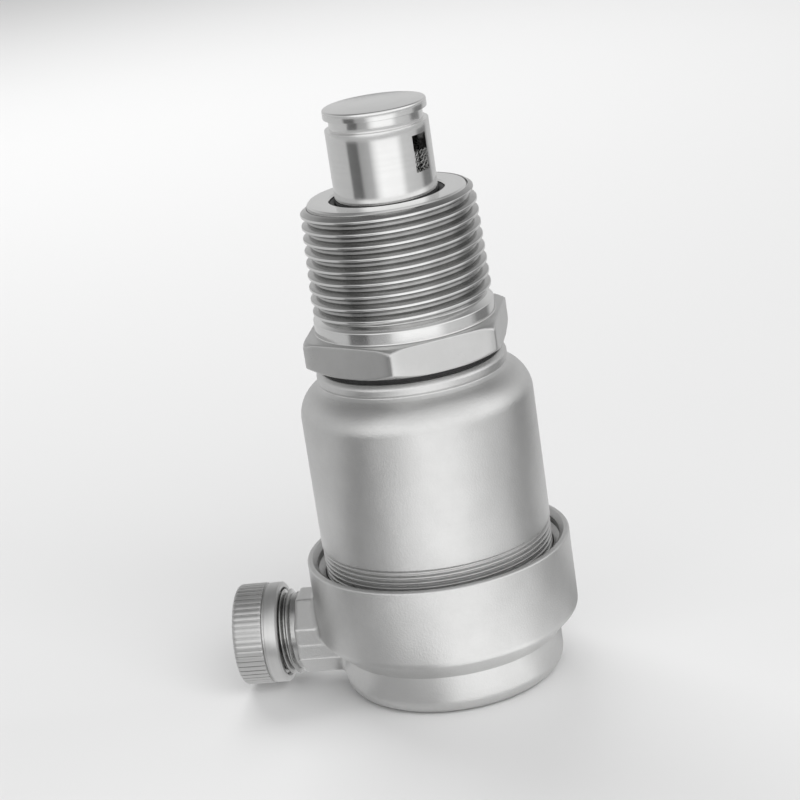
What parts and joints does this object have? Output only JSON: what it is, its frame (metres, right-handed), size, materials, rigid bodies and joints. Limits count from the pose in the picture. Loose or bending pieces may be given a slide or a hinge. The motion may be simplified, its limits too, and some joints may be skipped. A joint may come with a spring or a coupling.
{
  "type": "automatic air vent with isolating inlet stop",
  "caption": "Float-type automatic air vent: stepped round steel body, male taper inlet with hexagon and spring stop plunger, side outlet boss with a knurled vent cap.",
  "frame": {"origin": "centre of the cover's flat end face, on which the part stands", "axes": "+Z from the cover's flat end to the inlet thread; the vent outlet and its cap point to -X"},
  "size_m": [0.0667, 0.0508, 0.1133],
  "materials": {
    "cast_steel": "bead-blasted investment-cast stainless steel, satin",
    "turned_steel": "turned stainless steel, bright",
    "sheet_steel": "stamped stainless steel",
    "screen_steel": "woven stainless wire",
    "brass": "turned brass",
    "rubber": "black EPDM",
    "float_plastic": "moulded polypropylene"
  },
  "bodies": {
    "cover": {"cover": "cast_steel", "vent_nozzle": "brass", "nozzle_gasket": "rubber", "lever_bracket": "sheet_steel", "bracket_screws": "turned_steel", "lever_pin": "turned_steel", "lever_pin_clip": "turned_steel"},
    "lever": {"lever": "sheet_steel", "valve_pad": "rubber"},
    "float": {"float_shell": "float_plastic", "float_lid": "float_plastic", "float_stem": "turned_steel", "float_link_pin": "turned_steel"},
    "cap_washer": {"cap_washer": "rubber"},
    "vent_cap": {"vent_cap": "turned_steel"},
    "cover_gasket": {"cover_gasket": "rubber"},
    "barrel": {"barrel": "cast_steel"},
    "body_gasket": {"body_gasket": "rubber"},
    "inlet_stop": {"inlet_stop_body": "cast_steel", "bore_seal_ring": "rubber", "spring_retaining_ring": "sheet_steel", "stop_spring": "turned_steel"},
    "plunger": {"stop_plunger": "turned_steel", "plunger_screen": "screen_steel"}
  },
  "joints": [
    {"name": "float_slide", "type": "slide", "parent": "cover", "child": "float", "axis": [0, 0, 1], "range_m": [0, 0.0035]},
    {"name": "lever_pivot", "type": "hinge", "parent": "cover", "child": "lever", "pos_m": [-0.012, 0, 0.0186], "axis": [0, -1, 0], "range_deg": [0, 16.4]},
    {"name": "cap_washer_travel", "type": "slide", "parent": "cover", "child": "cap_washer", "axis": [-1, 0, 0], "range_m": [0, 0.0059]},
    {"name": "vent_cap_turn", "type": "hinge", "parent": "cap_washer", "child": "vent_cap", "pos_m": [-0.035, 0, 0.0109], "axis": [-1, 0, 0], "range_deg": [0, 1584]},
    {"name": "cover_gasket_travel", "type": "slide", "parent": "cover", "child": "cover_gasket", "axis": [0, 0, 1], "range_m": [0, 0.0068]},
    {"name": "barrel_turn", "type": "hinge", "parent": "cover_gasket", "child": "barrel", "pos_m": [0, 0, 0.02], "axis": [0, 0, 1], "range_deg": [0, 2430]},
    {"name": "body_gasket_travel", "type": "slide", "parent": "barrel", "child": "body_gasket", "axis": [0, 0, 1], "range_m": [0, 0.0131]},
    {"name": "inlet_stop_turn", "type": "hinge", "parent": "body_gasket", "child": "inlet_stop", "pos_m": [0, 0, 0.06], "axis": [0, 0, 1], "range_deg": [0, 3120]},
    {"name": "plunger_slide", "type": "slide", "parent": "inlet_stop", "child": "plunger", "axis": [0, 0, -1], "range_m": [0, 0.0131], "deforming": ["stop_spring"]}
  ],
  "couplings": [
    {"joint": "lever_pivot", "follows": "float_slide", "rad_per_m": 81.084},
    {"joint": "cap_washer_travel", "follows": "vent_cap_turn", "m_per_rad": 0.00021279},
    {"joint": "cover_gasket_travel", "follows": "barrel_turn", "m_per_rad": 0.00015915},
    {"joint": "body_gasket_travel", "follows": "inlet_stop_turn", "m_per_rad": 0.00023873},
    {"joint": "plunger_slide", "follows": "inlet_stop_turn", "m_per_rad": 0.00023873}
  ]
}
